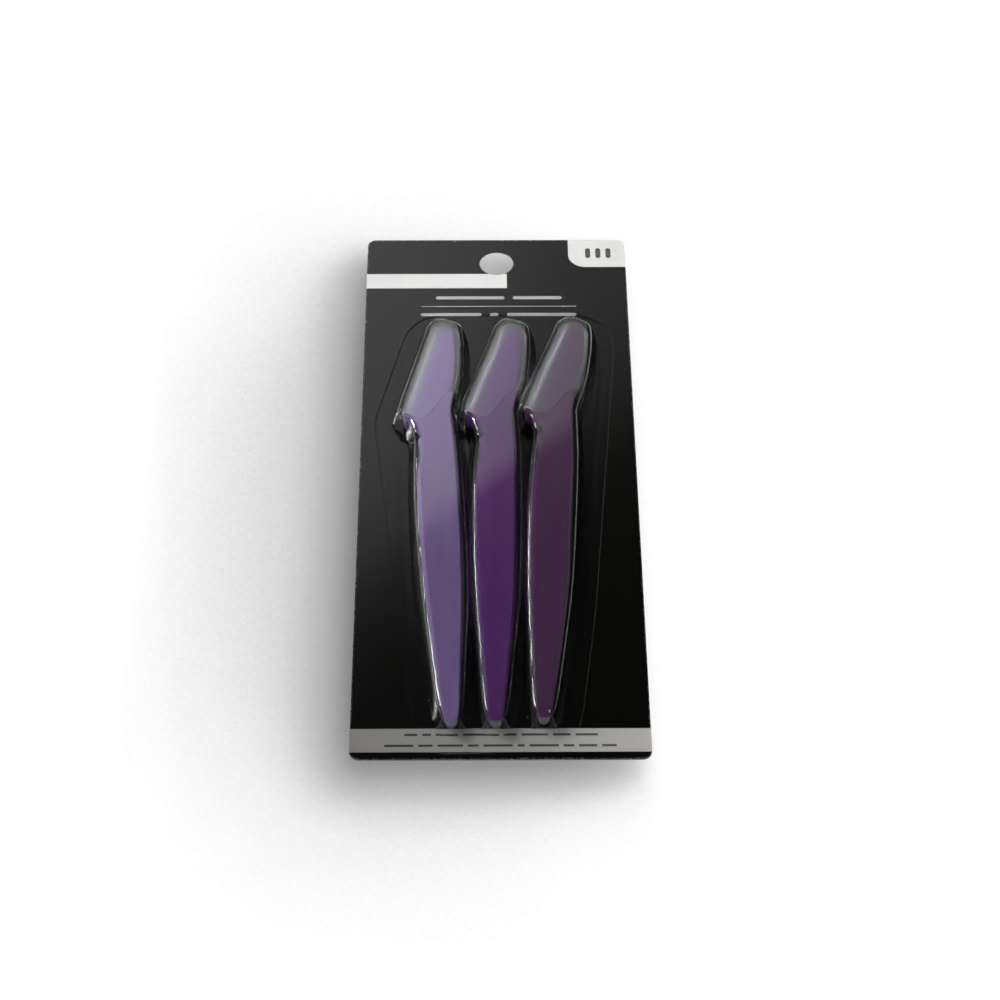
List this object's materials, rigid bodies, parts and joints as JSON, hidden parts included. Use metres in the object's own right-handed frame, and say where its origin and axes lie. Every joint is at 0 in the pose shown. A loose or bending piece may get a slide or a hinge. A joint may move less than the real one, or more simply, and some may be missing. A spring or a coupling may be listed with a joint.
{
  "type": "carded eyebrow razor blister pack",
  "caption": "Blister card of capped eyebrow razors with hooked grips, comb-guarded angled blades, S-mouthed frosted caps and a clear formed cover on a hang card.",
  "frame": {"origin": "centre of the card's back face", "axes": "+X across the card to the right of its printed face, +Y up the card towards the hang hole, +Z out of the printed face"},
  "size_m": [0.076, 0.19, 0.0066],
  "materials": {
    "card_board": "gloss coated black print with pale panels",
    "clear_sheet": "clear, gloss",
    "lilac_plastic": "semi gloss, moulded",
    "purple_plastic": "semi gloss, moulded",
    "plum_plastic": "semi gloss, moulded",
    "frosted_plastic": "frosted, translucent",
    "blade_steel": "ground and brushed",
    "guard_foil": "bright foil"
  },
  "bodies": {
    "card": {"backing_card": "card_board"},
    "cover": {"blister": "clear_sheet"},
    "left_razor": {"left_handle": "lilac_plastic", "left_blade": "blade_steel", "left_blade_guard": "guard_foil"},
    "middle_razor": {"middle_handle": "purple_plastic", "middle_blade": "blade_steel", "middle_blade_guard": "guard_foil"},
    "right_razor": {"right_handle": "plum_plastic", "right_blade": "blade_steel", "right_blade_guard": "guard_foil"},
    "left_cap_body": {"left_cap": "frosted_plastic"},
    "middle_cap_body": {"middle_cap": "frosted_plastic"},
    "right_cap_body": {"right_cap": "frosted_plastic"}
  },
  "joints": [
    {"name": "blister_lift", "type": "slide", "parent": "card", "child": "cover", "axis": [0, 0, 1], "range_m": [0, 0.12]},
    {"name": "left_razor_lift", "type": "slide", "parent": "card", "child": "left_razor", "axis": [0, 0, 1], "range_m": [0, 0.024]},
    {"name": "middle_razor_lift", "type": "slide", "parent": "card", "child": "middle_razor", "axis": [0, 0, 1], "range_m": [0, 0.024]},
    {"name": "right_razor_lift", "type": "slide", "parent": "card", "child": "right_razor", "axis": [0, 0, 1], "range_m": [0, 0.024]},
    {"name": "left_cap_slide", "type": "slide", "parent": "left_razor", "child": "left_cap_body", "axis": [0.2351, 0.972, 0], "range_m": [0, 0.04]},
    {"name": "middle_cap_slide", "type": "slide", "parent": "middle_razor", "child": "middle_cap_body", "axis": [0.2907, 0.9568, 0], "range_m": [0, 0.04]},
    {"name": "right_cap_slide", "type": "slide", "parent": "right_razor", "child": "right_cap_body", "axis": [0.3289, 0.9444, 0], "range_m": [0, 0.04]}
  ],
  "couplings": [
    {"joint": "left_razor_lift", "follows": "blister_lift", "ratio": 0.2},
    {"joint": "middle_razor_lift", "follows": "blister_lift", "ratio": 0.2},
    {"joint": "right_razor_lift", "follows": "blister_lift", "ratio": 0.2},
    {"joint": "left_cap_slide", "follows": "blister_lift", "ratio": 0.33333},
    {"joint": "middle_cap_slide", "follows": "blister_lift", "ratio": 0.33333},
    {"joint": "right_cap_slide", "follows": "blister_lift", "ratio": 0.33333}
  ]
}
